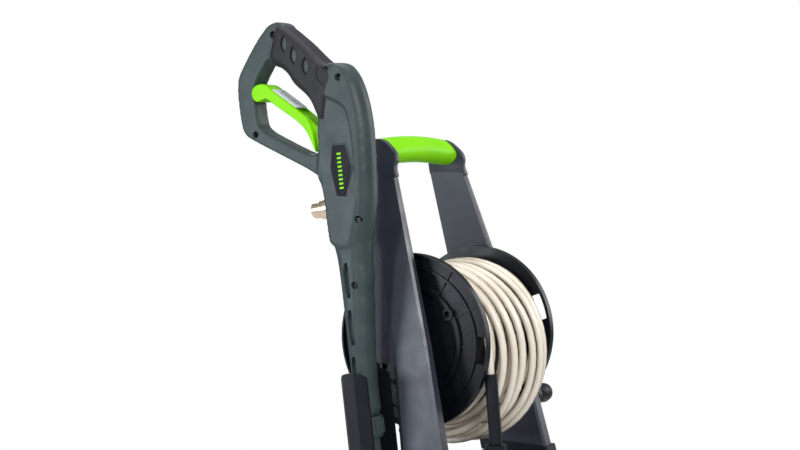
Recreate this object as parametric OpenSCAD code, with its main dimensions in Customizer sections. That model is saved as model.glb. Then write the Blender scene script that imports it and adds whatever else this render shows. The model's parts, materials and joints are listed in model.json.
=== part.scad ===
// Upright electric pressure washer with a hose reel between its two legs and a
// trigger gun holstered on its left side.  Millimetres.
// X is across the machine (the gun is on -X, the crank on +X), -Y is the front, Z is up.
// The origin is on the ground under the middle of the machine.

/* [Stand] */
// Height of the hose reel's axis above the ground
reel_z = 660; // [640:5:720]
// Height of the top of the motor housing
body_top = 475; // [400:5:480]
// Width of the motor housing
body_w = 276; // [240:2:280]
// Wall of the moulded covers
cover_wall = 3; // [2:0.5:4]
// Height of the tops of the legs
leg_top = 890; // [860:5:1000]
// Thickness of a leg at the reel's axis
leg_t = 16; // [13:1:20]
// Front-to-back depth of a leg's outer face at the reel's axis
leg_depth = 50; // [44:1:60]
// Gap between a reel flange and the leg beside it
leg_gap = 20; // [18:1:30]

/* [Handle] */
// Front-to-back depth of the handle
handle_depth = 40; // [34:1:44]
// Height of the handle's section
handle_h = 36; // [32:1:44]
// Width of the green grip along its top
grip_w = 176; // [150:2:178]

/* [Reel] */
// Diameter of the reel's flanges
flange_d = 236; // [200:4:288]
// Overall width of the reel over both flanges
reel_w = 180; // [150:2:220]
// Thickness of a flange's disc
flange_t = 3; // [2:0.5:4]
// Radius of the drum that the hose is wound on
drum_r = 88; // [70:1:92]
// Radius of the reel's hub bores
hub_bore_r = 10; // [8:0.5:12]

/* [Hose] */
// Outside diameter of the high-pressure hose
hose_d = 10.4; // [8:0.2:12.6]
// Drop of the loose turns below the drum
hose_sag = 20; // [10:1:24]
// Outside diameter of the stiff sleeve at the hose's end
sleeve_d = 17; // [14:0.5:20]

/* [Wheels] */
// Outside diameter of the wheels
wheel_d = 200; // [160:5:240]
// Width of a tyre
wheel_w = 25; // [18:1:26]
// Radius of the axle
axle_r = 6; // [5:0.5:8]

/* [Gun] */
// Thickness of the gun's body
gun_t = 40; // [34:1:44]
// Lean of the holstered gun, in degrees
gun_lean = 7.7; // [5:0.1:9]
// Radius of the lance
lance_r = 10.5; // [8:0.5:12]
// Length of the lance below its collar
lance_len = 420; // [300:10:430]

/* [Pump] */
// Radius of the motor can
motor_r = 60; // [45:1:66]
// Module of the reduction gears
gear_m = 1.5; // [1:0.25:1.75]
// Teeth on the motor's pinion
pinion_teeth = 12; // [12:4:16]
// Teeth on the pump's gear
gear_teeth = 48; // [40:4:52]

/* [Hidden] */
$fn = 64;

// Clearances: a running fit, a seat between two pieces, and room between moving parts
fit = 0.05;
seat = 0.2;
room = 0.4;

// Colours
leg_grey = [0.17, 0.19, 0.23];
black = [0.08, 0.08, 0.10];
lime = [0.45, 0.85, 0.05];
gun_green = [0.25, 0.31, 0.32];
steel = [0.65, 0.66, 0.68];
brass = [0.78, 0.62, 0.30];
beige = [0.84, 0.79, 0.70];
rubber = [0.06, 0.06, 0.06];

// ---- Stand: places that the legs, the reel and the gun share ----
reel_y = -34;
leg_lead = 47;
lean_up = 0.326;
lean_low = 0.244;
splay_up = 0.152;
splay_low = 0.1;
notch_z = reel_z - 28;
facet_depth = 42;
facet_turn = 9;

function leg_x(z) = reel_w / 2 + leg_gap + leg_t + (reel_z - z) * (z > reel_z ? splay_up : splay_low);
function leg_wall(z) = leg_t + (reel_z - z) * 0.033;
function leg_front(z) = reel_y - leg_lead + (z - reel_z) * (z > reel_z ? lean_up : lean_low);
function leg_face(z) = leg_depth + (z < reel_z ? (reel_z - z) * 0.07 : 0);
function leg_back(z) = leg_front(z) + leg_face(z);
function facet(z) = z < leg_top - 110 ? 1 : 1 - 0.8 * (z - leg_top + 110) / 110;

// One level of a leg's outline, grown by g, with or without its turned-in rear facet
module leg_slice(z, g, rear) {
    x1 = leg_x(z) + g;
    x0 = leg_x(z) - leg_wall(z) - g;
    front = leg_front(z) - g;
    crease = leg_back(z) + g;
    back = crease + facet_depth * facet(z);
    chamfer = 3;
    translate([0, 0, z - 0.25])
        linear_extrude(0.5)
            polygon(rear
                ? [[x0 + chamfer, front], [x1 - chamfer, front], [x1, front + chamfer], [x1, crease],
                   [x1 - facet_turn * facet(z), back], [x0, back], [x0, front + chamfer]]
                : [[x0 + chamfer, front], [x1 - chamfer, front], [x1, front + chamfer], [x1, crease],
                   [x0, crease], [x0, front + chamfer]]);
}

module leg_run(z0, z1, g, rear) {
    hull() {
        leg_slice(z0 + 0.25, g, rear);
        leg_slice(z1 - 0.25, g, rear);
    }
}

// The bearing boss that carries the reel, on the inner side of a leg
boss_r = 24;
boss_x0 = reel_w / 2 + 5;
boss_x1 = leg_x(reel_z) - 4;
module leg_boss() {
    translate([boss_x0, reel_y, reel_z])
        rotate([0, 90, 0])
            cylinder(r = boss_r, h = boss_x1 - boss_x0);
}

socket_h = 16;
deck_t = 8;
module leg_body(rear_low) {
    leg_run(body_top, notch_z, 0, rear_low);
    leg_run(notch_z, reel_z, 0, true);
    leg_run(reel_z, leg_top, 0, true);
    leg_boss();
}

union_r = 9;
crank_shaft_r = 9;
holster_screws = [notch_z - 85, notch_z - 30];
// A round hole or screw at height z that enters the back of the +X leg
module leg_screw(z, r, depth) {
    translate([leg_x(z) - leg_wall(z) / 2, leg_back(z) - depth + 10, z])
        rotate([-90, 0, 0])
            cylinder(r = r, h = depth);
}

module left_leg() {
    color(leg_grey)
        difference() {
            mirror([1, 0, 0])
                difference() {
                    leg_body(false);
                    translate([boss_x0 - 1, reel_y, reel_z])
                        rotate([0, 90, 0])
                            cylinder(r = union_r + seat, h = boss_x1 - boss_x0 - 3);
                    for (z = holster_screws)
                        leg_screw(z, screw_r - 0.3, 24);
                }
            feed_route(feed_r + 1.2);
        }
}

module right_leg() {
    color(leg_grey)
        difference() {
            leg_body(true);
            translate([boss_x0 - 1, reel_y, reel_z])
                rotate([0, 90, 0])
                    cylinder(r = crank_shaft_r + fit, h = 60);
        }
}

// ---- Handle ----
arch_r = 430;
handle_y = leg_front(leg_top) + 30;
handle_top = leg_top + 47;
arch_z = handle_top - handle_h / 2 - arch_r;
bar_end = leg_x(leg_top) + 1;
grip_skin = 5;
grip_slant = 23;

// A rectangle with round corners, centred
module round_rect(w, h, r) {
    square([w - 2 * r, h], center = true);
    square([w, h - 2 * r], center = true);
    for (x = [-1, 1], y = [-1, 1])
        translate([x * (w / 2 - r), y * (h / 2 - r)])
            circle(r);
}

module arch(w, h, r, half) {
    a = asin(half / arch_r);
    translate([0, handle_y, arch_z])
        rotate([90, 0, 0])
            rotate([0, 0, 90 - a])
                rotate_extrude(angle = 2 * a, $fn = 180)
                    translate([arch_r, 0])
                        round_rect(h, w, r);
}

module grip_span(g) {
    half = grip_w / 2 + g;
    translate([0, handle_y + 60, 0])
        rotate([90, 0, 0])
            linear_extrude(120)
                polygon([[-half, handle_top + 30], [half, handle_top + 30], [half, handle_top - 8],
                         [half - grip_slant, leg_top - 20], [grip_slant - half, leg_top - 20],
                         [-half, handle_top - 8]]);
}

module handle_bar() {
    color(black) {
        arch(handle_depth - 2 * grip_skin, handle_h - 2 * grip_skin, 8, bar_end);
        difference() {
            union() {
                arch(handle_depth, handle_h, 14, bar_end);
                for (side = [-1, 1])
                    translate([side * (bar_end - 8) - 8, handle_y - handle_depth / 2 + 4, leg_top])
                        cube([16, handle_depth - 8, 16]);
            }
            grip_span(0);
        }
    }
}

module handle_grip() {
    color(lime)
        difference() {
            intersection() {
                arch(handle_depth + 1, handle_h + 1, 14.5, bar_end);
                grip_span(-seat);
            }
            arch(handle_depth - 2 * grip_skin + 2 * seat, handle_h - 2 * grip_skin + 2 * seat, 8 + seat,
                 bar_end + 5);
        }
}

// ---- Motor housing: chassis, covers and deck ----
chassis_z = 22;
floor_z = 60;
front_foot = -205;
front_low = -196;
front_high = -158;
rear_low = 52;
rear_high = -22;
split_y = -80;

function front_y(z) = front_low + (front_high - front_low) * (z - floor_z) / (body_top - floor_z);
function rear_y(z) = rear_low + (rear_high - rear_low) * (z - floor_z) / (body_top - floor_z);

// Side outline of the housing, pulled in by i at the front and back and longer by e at each end
shell_top = body_top - deck_t;
function body_outline(i, e = 0) = [
    [front_y(floor_z - e) + i, floor_z - e], [front_y(shell_top + e) + i, shell_top + e],
    [rear_y(shell_top + e) - i, shell_top + e], [rear_y(floor_z - e) - i, floor_z - e]];

module across(w) {
    translate([-w / 2, 0, 0])
        rotate([90, 0, 90])
            linear_extrude(w)
                children();
}

module body_shell() {
    difference() {
        across(body_w)
            polygon(body_outline(0));
        across(body_w - 2 * cover_wall)
            polygon(body_outline(cover_wall, 1));
    }
}

face_tilt = atan((front_high - front_low) / (body_top - floor_z));
// Puts its children on the sloping front face at x and z, with +Z pointing out of the face
module on_front(x, z) {
    translate([x, front_y(z), z])
        rotate([90 - face_tilt, 0, 0])
            children();
}

knob_x = 66;
knob_z = 368;
knob_r = 24;
knob_stem_r = 6;
filler_x = -66;
filler_z = 405;
filler_r = 14;
vent_count = 7;
screw_r = 2.5;
inlet_x = 70;
inlet_z = 130;
inlet_r = 9;
gland_x = -70;
gland_z = 190;
gland_r = 9;

// Screw bosses inside the covers' side walls, from y to 12 mm behind it
cover_screw_z = [110, 430];
boss_x = body_w / 2 - 12;
module cover_bosses(y) {
    for (side = [0, 1], z = cover_screw_z)
        mirror([side, 0, 0])
            translate([boss_x - 6, y, z - 6])
                cube([12 + 6 - cover_wall + 0.5, 12, 12]);
}

module front_cover() {
    color(leg_grey)
        difference() {
            union() {
                intersection() {
                    body_shell();
                    translate([-200, -300, 0])
                        cube([400, 300 + split_y, 600]);
                }
                cover_bosses(split_y - 12);
            }
            on_front(knob_x, knob_z)
                translate([0, 0, -10])
                    cylinder(r = knob_stem_r + room, h = 20);
            on_front(filler_x, filler_z)
                translate([0, 0, -10])
                    cylinder(r = filler_r + room, h = 20);
            for (i = [0:vent_count - 1])
                on_front(0, 110 + 16 * i)
                    cube([150 - 8 * i, 6, 20], center = true);
            for (x = [-boss_x, boss_x], z = cover_screw_z)
                translate([x, split_y - 15, z])
                    rotate([-90, 0, 0])
                        cylinder(r = screw_r - 0.3, h = 30);
        }
}

module rear_cover() {
    color(leg_grey)
        difference() {
            union() {
                intersection() {
                    body_shell();
                    translate([-200, split_y, 0])
                        cube([400, 300, 600]);
                }
                cover_bosses(split_y);
            }
            translate([inlet_x, 0, inlet_z])
                rotate([-90, 0, 0])
                    cylinder(r = inlet_r + seat, h = 120);
            translate([gland_x, 0, gland_z])
                rotate([-90, 0, 0])
                    cylinder(r = gland_r + seat, h = 120);
            for (x = [-boss_x, boss_x], z = cover_screw_z)
                translate([x, split_y - 15, z])
                    rotate([-90, 0, 0])
                        cylinder(r = screw_r + seat, h = 60);
            for (i = [0:5])
                translate([-50, 0, 260 + 18 * i])
                    cube([100, 100, 7]);
        }
}

module leg_sockets(g, h) {
    for (side = [0, 1])
        mirror([side, 0, 0])
            leg_run(body_top, body_top + h, g, side == 0);
}

module top_deck() {
    color(black)
        difference() {
            union() {
                across(body_w)
                    polygon([[front_y(body_top - deck_t), body_top - deck_t],
                             [front_y(body_top) - 4, body_top], [rear_y(body_top), body_top],
                             [rear_y(body_top - deck_t), body_top - deck_t]]);
                for (side = [-1, 1])
                    translate([side * (body_w / 2 + 2) - 12, leg_front(body_top) - 4, body_top - deck_t])
                        cube([24, leg_face(body_top) + 8, deck_t]);
                leg_sockets(4, socket_h);
                hose_clip();
            }
            leg_sockets(seat, socket_h + 1);
            feed_route(feed_r + 1.2);
        }
}

// A C-shaped clip on the deck that parks the hose's end
clip_post = 10;
spigot_r = 7;
module hose_clip() {
    translate([sleeve_end[0], sleeve_end[1], body_top - deck_t])
        difference() {
            union() {
                cylinder(r = spigot_r + 5, h = clip_post + deck_t);
                translate([-6, 0, 0])
                    cube([12, 26, clip_post + deck_t - 2]);
            }
            translate([0, 0, deck_t])
                cylinder(r = spigot_r + room, h = clip_post + 1);
            translate([-spigot_r + 1, -40, deck_t])
                cube([2 * spigot_r - 2, 40, clip_post + 1]);
        }
}

axle_y = 76;
axle_z = wheel_d / 2;
bracket_x = body_w / 2 - 18;
foot_x = 104;
module chassis() {
    color(black)
        difference() {
            union() {
                across(body_w)
                    polygon([[front_low, floor_z], [front_foot + 4, floor_z - 12],
                             [front_foot, chassis_z], [20, chassis_z], [rear_low, floor_z - 16],
                             [rear_low, floor_z]]);
                for (side = [-1, 1])
                    translate([side * bracket_x, 0, 0])
                        across(16)
                            difference() {
                                union() {
                                    polygon([[20, chassis_z + 4], [rear_low - 40, floor_z],
                                             [rear_low + 0.5, floor_z], [axle_y, axle_z + 18],
                                             [axle_y + 18, axle_z], [axle_y + 10, axle_z - 16]]);
                                    translate([axle_y, axle_z])
                                        circle(18);
                                }
                                polygon(body_outline(-0.5, 0));
                            }
                translate([-bracket_x, axle_y, axle_z])
                    rotate([0, 90, 0])
                        cylinder(r = axle_r + 5, h = 2 * bracket_x);
            }
            across(body_w - 16)
                polygon([[front_low + 8, floor_z + 1], [front_foot + 12, floor_z - 16],
                         [front_foot + 12, chassis_z + 6], [14, chassis_z + 6],
                         [rear_low - 10, floor_z - 14], [rear_low - 10, floor_z + 1]]);
            translate([-200, axle_y, axle_z])
                rotate([0, 90, 0])
                    cylinder(r = axle_r + seat, h = 400);
        }
    // Posts that carry the pump
    color(black)
        for (x = [-40, 40], y = [-24, 24])
            translate([x, pump_y + y, chassis_z + 5])
                cylinder(r = 8, h = pump_z - chassis_z - 5);
}

module front_feet() {
    color(rubber)
        for (side = [-1, 1])
            translate([side * foot_x, front_foot + 24, 0])
                difference() {
                    union() {
                        cylinder(r = 18, h = chassis_z);
                    }
                    translate([0, 0, -1])
                        cylinder(r = 5, h = 6);
                }
}

module body_screws() {
    color(steel) {
        for (x = [-boss_x, boss_x], z = cover_screw_z)
            translate([x, split_y + 12 + seat, z])
                rotate([90, 0, 0]) {
                    cylinder(r = screw_r - 0.4, h = 24);
                    translate([0, 0, -3])
                        cylinder(r = 4.5, h = 3);
                }
        mirror([1, 0, 0])
            for (z = holster_screws) {
                leg_screw(z, screw_r - 0.4, 22);
                translate([leg_x(z) - leg_wall(z) / 2, leg_back(z) + strap_t + 2, z])
                    rotate([-90, 0, 0])
                        cylinder(r = 4.5, h = 3);
            }
    }
}

// ---- Motor, gears and pump ----
motor_x = 0;
motor_y = -104;
gear_span = gear_m * (pinion_teeth + gear_teeth) / 2;
pump_y = motor_y + gear_span;
pump_z = 78;
head_h = 66;
case_z = pump_z + head_h;
case_h = 66;
motor_z = case_z + case_h;
motor_h = 108;
shaft_r = 5;
bearing_r = 11;
gear_h = 14;
gear_z = motor_z - 8 - gear_h;

// Outline of a spur gear with straight-sided teeth; a tooth points along +Y when turn is 0
module gear_outline(teeth, turn) {
    pitch = gear_m * teeth / 2;
    step = 360 / teeth;
    tip = pitch + 0.85 * gear_m;
    root = pitch - 1.15 * gear_m;
    rotate(turn)
        polygon([for (i = [0:teeth - 1], k = [[-0.30, root], [-0.12, tip], [0.12, tip], [0.30, root]])
            [k[1] * sin((i + k[0]) * step), k[1] * cos((i + k[0]) * step)]]);
}

module motor_can() {
    color(steel)
        translate([motor_x, motor_y, motor_z])
            difference() {
                union() {
                    cylinder(r = motor_r, h = motor_h);
                    translate([0, 0, motor_h])
                        cylinder(r = bearing_r + 6, h = 10);
                }
                translate([0, 0, 6])
                    cylinder(r = motor_r - 3, h = motor_h - 10);
                translate([0, 0, -1])
                    cylinder(r = bearing_r + seat, h = motor_h + 9);
                for (a = [0:45:315])
                    rotate([0, 0, a])
                        translate([motor_r, 0, motor_h - 24])
                            cube([12, 18, 18], center = true);
            }
}

module stator() {
    color([0.45, 0.3, 0.2])
        translate([motor_x, motor_y, motor_z + 14])
            difference() {
                cylinder(r = motor_r - 3 - seat, h = 56);
                translate([0, 0, -1])
                    cylinder(r = motor_r * 0.55 + 1, h = 58);
                for (a = [0:90:270])
                    rotate([0, 0, a + 45])
                        translate([motor_r * 0.62, 0, 28])
                            cube([12, 10, 60], center = true);
            }
}

module armature() {
    color(steel)
        translate([motor_x, motor_y, 0]) {
            translate([0, 0, gear_z - 12])
                cylinder(r = shaft_r, h = motor_z + motor_h + 7 - gear_z + 12);
            translate([0, 0, motor_z + 16])
                cylinder(r = motor_r * 0.55, h = 52);
            translate([0, 0, motor_z + 74])
                cylinder(r = 13, h = 12);
            translate([0, 0, gear_z])
                linear_extrude(gear_h)
                    gear_outline(pinion_teeth, 0);
            translate([0, 0, motor_z + 90]) {
                cylinder(r = motor_r - 8, h = 2);
                for (a = [0:30:330])
                    rotate([0, 0, a])
                        translate([16, -1, 1])
                            cube([motor_r - 26, 2, 9]);
            }
        }
}

module shaft_bearings() {
    color(steel)
        translate([motor_x, motor_y, motor_z])
            for (z = [-5.5, motor_h - 2])
                translate([0, 0, z])
                    difference() {
                        cylinder(r = bearing_r, h = 9.5);
                        translate([0, 0, -1])
                            cylinder(r = shaft_r + fit, h = 12);
                    }
}

case_r = gear_m * (gear_teeth + 2) / 2 + 8;
module gear_case() {
    color(steel)
        difference() {
            union() {
                translate([motor_x, pump_y, case_z])
                    cylinder(r = case_r, h = case_h);
                translate([motor_x, motor_y, case_z])
                    cylinder(r = motor_r * 0.75, h = case_h);
            }
            translate([motor_x, pump_y, case_z + 4])
                cylinder(r = case_r - 5, h = case_h - 8);
            translate([motor_x, motor_y, gear_z - 4])
                cylinder(r = gear_m * (pinion_teeth + 2) / 2 + 6, h = gear_h + 8);
            translate([motor_x, motor_y, gear_z - 13])
                cylinder(r = shaft_r + fit, h = 30);
            translate([motor_x, motor_y, motor_z - 6])
                cylinder(r = bearing_r + seat, h = 30);
            translate([motor_x, pump_y, case_z - 1])
                cylinder(r = 30, h = 10);
            translate([motor_x, pump_y, case_z + case_h - 5])
                cylinder(r = gear_shaft_r + fit, h = 3.6);
        }
}

gear_shaft_r = 6;
module pump_gear() {
    color([0.85, 0.84, 0.78])
        translate([motor_x, pump_y, 0]) {
            translate([0, 0, gear_z])
                linear_extrude(gear_h)
                    gear_outline(gear_teeth, 180 + 180 / gear_teeth);
            translate([0, 0, wobble_z + wobble_t])
                cylinder(r = gear_shaft_r, h = case_z + case_h - 2 - wobble_z - wobble_t);
        }
}

wobble_r = 27;
wobble_tilt = 9;
wobble_z = case_z + 13;
wobble_t = 12;
module wobble_plate() {
    color(steel)
        translate([motor_x, pump_y, wobble_z])
            difference() {
                cylinder(r = wobble_r, h = wobble_t);
                translate([0, 0, -wobble_r])
                    rotate([wobble_tilt, 0, 0])
                        translate([0, 0, wobble_r + 4.6 - 20])
                            cube([80, 80, 40], center = true);
            }
}

piston_ring = 15;
piston_r = 6;
module pump_head() {
    color([0.6, 0.6, 0.62])
        translate([motor_x, pump_y, pump_z])
            difference() {
                union() {
                    cylinder(r = 40, h = head_h);
                    translate([feed_low[0] - 10, -34, 0])
                        cube([50 - feed_low[0] + 10, 68, 34]);
                    translate([inlet_x - 14, -14, inlet_z - pump_z - 32])
                        cube([28, 28, 32 + 14]);
                    translate([30, -14, inlet_z - pump_z - 32])
                        cube([inlet_x - 30, 28, 20]);
                }
                for (a = [90:120:330])
                    rotate([0, 0, a])
                        translate([piston_ring, 0, 20])
                            cylinder(r = piston_r + fit, h = head_h);
                translate([inlet_x, 0, inlet_z - pump_z])
                    rotate([-90, 0, 0])
                        cylinder(r = inlet_r - 3 + seat, h = 40);
                translate([feed_low[0], 0, feed_low[2] - pump_z - seat])
                    cylinder(r = feed_r + seat, h = 40);
            }
}

module pump_pistons() {
    color(steel)
        translate([motor_x, pump_y, pump_z])
            for (a = [90:120:330])
                rotate([0, 0, a])
                    translate([piston_ring, 0, 30]) {
                        cylinder(r = piston_r, h = head_h - 24);
                        translate([0, 0, head_h - 26])
                            cylinder(r = 5, h = 8);
                    }
}

module pressure_switch() {
    color(black)
        translate([motor_x + 42, pump_y - 34 - 16, pump_z + 6])
            cube([34, 16, 30]);
}

// ---- Electrics and detergent ----
module capacitor() {
    color([0.75, 0.76, 0.78])
        translate([-(body_w / 2 - cover_wall - 20 - seat), -30, floor_z + cover_wall + 120])
            cylinder(r = 20, h = 70);
    color([0.75, 0.76, 0.78])
        translate([-(body_w / 2 - cover_wall - seat), -38, floor_z + cover_wall + 110])
            cube([34, 16, 10]);
}

module switch_box() {
    color(black)
        on_front(knob_x, knob_z)
            translate([0, 0, -cover_wall - 36.3])
                difference() {
                    translate([-28, -24, 0])
                        cube([56, 48, 36]);
                    translate([0, 0, 20])
                        cylinder(r = knob_stem_r + fit, h = 20);
                }
}

module switch_knob() {
    color(lime)
        on_front(knob_x, knob_z) {
            translate([0, 0, -cover_wall - 14])
                cylinder(r = knob_stem_r, h = cover_wall + 16);
            translate([0, 0, room])
                cylinder(r = knob_r, h = 6);
            translate([0, 0, 6])
                intersection() {
                    cylinder(r = knob_r - 1, h = 14);
                    translate([0, 0, 6])
                        cube([12, 80, 20], center = true);
                }
        }
}

module cord_gland() {
    color(black)
        translate([gland_x, rear_y(gland_z) - cover_wall - 12, gland_z])
            rotate([-90, 0, 0])
                difference() {
                    union() {
                        cylinder(r = gland_r, h = 22);
                        translate([0, 0, 17.8])
                            cylinder(r = gland_r + 3, h = 4.2);
                        translate([0, 0, 22])
                            cylinder(r1 = gland_r - 1, r2 = 5.5, h = 26);
                    }
                    translate([0, 0, -1])
                        cylinder(r = 3.6, h = 60);
                }
}

tank_x = boss_x - 10;
tank_rear = -86;
tank_z = 345;
tank_h = 100;
module detergent_tank() {
    color([0.85, 0.87, 0.88])
        difference() {
            union() {
                intersection() {
                    translate([-tank_x, -190, tank_z])
                        cube([tank_x + 20, 190 + tank_rear, tank_h]);
                    across(body_w)
                        polygon(body_outline(cover_wall + 0.6));
                }
                on_front(filler_x, filler_z)
                    translate([0, 0, -cover_wall - 12])
                        cylinder(r = filler_r, h = cover_wall + 20);
            }
            translate([3 - tank_x, -160, tank_z + 3])
                cube([tank_x + 14, 157 + tank_rear, tank_h - 6]);
            on_front(filler_x, filler_z)
                translate([0, 0, -cover_wall - 25])
                    cylinder(r = filler_r - 3, h = 60);
        }
}

module tank_cap() {
    color(black)
        on_front(filler_x, filler_z)
            difference() {
                union() {
                    translate([0, 0, 1])
                        cylinder(r = filler_r + 6, h = 13);
                    for (a = [0:30:330])
                        rotate([0, 0, a])
                            translate([filler_r + 6, 0, 2])
                                cylinder(r = 1.5, h = 10);
                }
                translate([0, 0, 0])
                    cylinder(r = filler_r + fit, h = 8 + room);
            }
}

collar_y = rear_y(inlet_z) + 14;
module inlet_pipe() {
    color(brass)
        translate([inlet_x, 0, inlet_z])
            rotate([-90, 0, 0])
                difference() {
                    union() {
                        translate([0, 0, pump_y + 2])
                            cylinder(r = inlet_r - 3, h = collar_y - pump_y);
                        translate([0, 0, pump_y + 14 + room])
                            cylinder(r = inlet_r, h = collar_y - pump_y - 14 - room);
                        translate([0, 0, collar_y + 14])
                            cylinder(r = 13.2, h = 20);
                        translate([0, 0, collar_y - 1])
                            cylinder(r = inlet_r, h = 16);
                    }
                    translate([0, 0, pump_y])
                        cylinder(r = 4, h = 300);
                }
}

module inlet_collar() {
    color(black)
        translate([inlet_x, collar_y, inlet_z])
            rotate([-90, 0, 0])
                difference() {
                    cylinder(r = 16.5, h = 13.4);
                    for (a = [0:30:330])
                        rotate([0, 0, a])
                            translate([17.2, 0, -1])
                                cylinder(r = 1.8, h = 20);
                    translate([0, 0, -1])
                        cylinder(r = inlet_r + fit, h = 20);
                }
}

// ---- Feed from the pump up to the reel ----
feed_r = 4;
feed_x = -(reel_w / 2 + 10);
feed_low = [-(motor_r + 4), pump_y, pump_z + 24];
feed_bend = [feed_low[0], pump_y, body_top - 60];
feed_deck = [feed_x, reel_y - 14, body_top - 8];
feed_top = [feed_x, reel_y, reel_z];

// A straight piece of pipe between two points
module rod(a, b, r) {
    d = b - a;
    translate(a)
        rotate([0, acos(d[2] / norm(d)), atan2(d[1], d[0])])
            cylinder(r = r, h = norm(d));
}

module feed_route(r) {
    rod(feed_low, feed_bend, r);
    translate(feed_bend)
        sphere(r * 1.3);
    rod(feed_bend, feed_deck, r);
    translate(feed_deck)
        sphere(r * 1.3);
    rod(feed_deck, feed_top, r);
}

module feed_pipe() {
    color(steel)
        difference() {
            feed_route(feed_r);
            translate([-200, reel_y, reel_z])
                rotate([0, 90, 0])
                    cylinder(r = union_r + seat, h = 200);
        }
}

hub_depth = 34;
module feed_union() {
    color(brass)
        translate([0, reel_y, reel_z])
            rotate([0, -90, 0]) {
                translate([0, 0, reel_w / 2 - hub_depth])
                    cylinder(r = hub_bore_r - fit - 1, h = hub_depth);
                translate([0, 0, reel_w / 2 + 1])
                    cylinder(r = union_r, h = boss_x1 - 4 - reel_w / 2 - 1);
                translate([0, 0, reel_w / 2 - hub_depth])
                    cylinder(r = hub_bore_r - fit, h = hub_depth + 2);
            }
}

// ---- Wheels ----
tyre_reach = 52;
wheel_x0 = body_w / 2 + tyre_reach - wheel_w;
hub_r = 24;
tyre_t = 18;
module at_wheel(side) {
    mirror([side < 0 ? 1 : 0, 0, 0])
        translate([wheel_x0, axle_y, axle_z])
            rotate([0, 90, 0])
                children();
}

module axle() {
    color(steel)
        translate([-wheel_x0 - wheel_w + 6, axle_y, axle_z])
            rotate([0, 90, 0])
                cylinder(r = axle_r, h = 2 * (wheel_x0 + wheel_w - 6));
}

module rim() {
    rim_r = wheel_d / 2 - tyre_t;
    difference() {
        union() {
            translate([0, 0, 3])
                difference() {
                    cylinder(r = rim_r, h = wheel_w - 6);
                    translate([0, 0, -1])
                        cylinder(r = rim_r - 5, h = wheel_w);
                }
            translate([0, 0, wheel_w / 2 - 3])
                cylinder(r = rim_r - 2, h = 5);
            translate([0, 0, 2])
                cylinder(r = hub_r, h = wheel_w - 8);
            for (a = [11:60:311])
                rotate([0, 0, a])
                    translate([hub_r - 4, -3, 4])
                        cube([rim_r - hub_r, 6, wheel_w - 10]);
        }
        translate([0, 0, -1])
            cylinder(r = axle_r + fit, h = wheel_w + 2);
        for (a = [41:60:341])
            rotate([0, 0, a])
                translate([(hub_r + rim_r) / 2, 0, 0])
                    cylinder(r = 13, h = wheel_w);
    }
}

module tyre() {
    r = wheel_d / 2;
    rim_r = r - tyre_t;
    difference() {
        rotate_extrude($fn = 96)
            difference() {
                polygon([[rim_r + seat, 1], [r - 7, 0], [r, 6], [r, wheel_w - 6], [r - 7, wheel_w],
                         [rim_r + seat, wheel_w - 1]]);
                for (x = [wheel_w / 2 - 4, wheel_w / 2 + 4])
                    translate([r - 2, x - 1])
                        square([4, 2]);
            }
        for (a = [7:20:347])
            rotate([0, 0, a])
                translate([r, 0, wheel_w / 2])
                    cube([5, 3, 4.4], center = true);
    }
}

module hub_cap() {
    translate([0, 0, wheel_w - 6 + seat])
        difference() {
            cylinder(r1 = hub_r + 2, r2 = hub_r - 4, h = 6 - seat);
            translate([0, 0, -1])
                cylinder(r = axle_r + room, h = 2);
        }
}

module left_rim() {
    color(leg_grey)
        at_wheel(-1)
            rim();
}

module right_rim() {
    color(leg_grey)
        at_wheel(1)
            rim();
}

module left_tyre() {
    color(rubber)
        at_wheel(-1)
            tyre();
}

module right_tyre() {
    color(rubber)
        at_wheel(1)
            tyre();
}

module left_hub_cap() {
    color(lime)
        at_wheel(-1)
            hub_cap();
}

module right_hub_cap() {
    color(lime)
        at_wheel(1)
            hub_cap();
}

// ---- Hose reel ----
flange_r = flange_d / 2;
rib_count = 12;
web_r = 98;
boss_ring_r = 72;

// A flange lying on its inner face, with ribs and a rim lip on its outer side.
// Its two windows are turned by an angle of their own.
module flange(window_turn) {
    rim_lip = 9;
    difference() {
        union() {
            cylinder(r = flange_r, h = flange_t, $fn = 120);
            difference() {
                cylinder(r = flange_r, h = rim_lip, $fn = 120);
                translate([0, 0, -1])
                    cylinder(r = flange_r - 2.5, h = rim_lip + 2, $fn = 120);
            }
            for (ring = [[web_r, 1, flange_t + 2.5], [boss_ring_r, 3, 7]])
                difference() {
                    cylinder(r = ring[0] + ring[1], h = ring[2]);
                    translate([0, 0, -1])
                        cylinder(r = ring[0] - ring[1], h = ring[2] + 2);
                }
            for (i = [0:rib_count - 1])
                rotate([0, 0, 2 + i * 360 / rib_count])
                    translate([boss_ring_r, -0.8, flange_t - 1])
                        cube([flange_r - boss_ring_r - 1, 1.6, 3]);
            for (a = [55:90:325])
                rotate([0, 0, a])
                    translate([boss_ring_r - 3.5, 0, 0])
                        cylinder(r = 8, h = 9);
            cylinder(r = hub_bore_r + 7, h = 9);
        }
        for (a = [0, 180])
            rotate([0, 0, a + window_turn])
                intersection() {
                    translate([flange_r - 22, -18, -1])
                        cube([20, 36, 20]);
                    difference() {
                        cylinder(r = flange_r - 4.5, h = 30);
                        cylinder(r = flange_r - 18.5, h = 30);
                    }
                }
        translate([0, 0, -1])
            cylinder(r = hub_bore_r, h = 20);
        for (a = [55:90:325])
            rotate([0, 0, a])
                translate([boss_ring_r - 3.5, 0, 4])
                    cylinder(r = 4.5, h = 20);
    }
}

inner_x = reel_w / 2 - 9;
module at_reel() {
    translate([0, reel_y, reel_z])
        rotate([0, 90, 0])
            children();
}

module left_flange() {
    color(black)
        at_reel()
            mirror([0, 0, 1])
                translate([0, 0, inner_x])
                    flange(273);
}

module right_flange() {
    color(black)
        at_reel()
            translate([0, 0, inner_x])
                flange(250);
}

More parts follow.
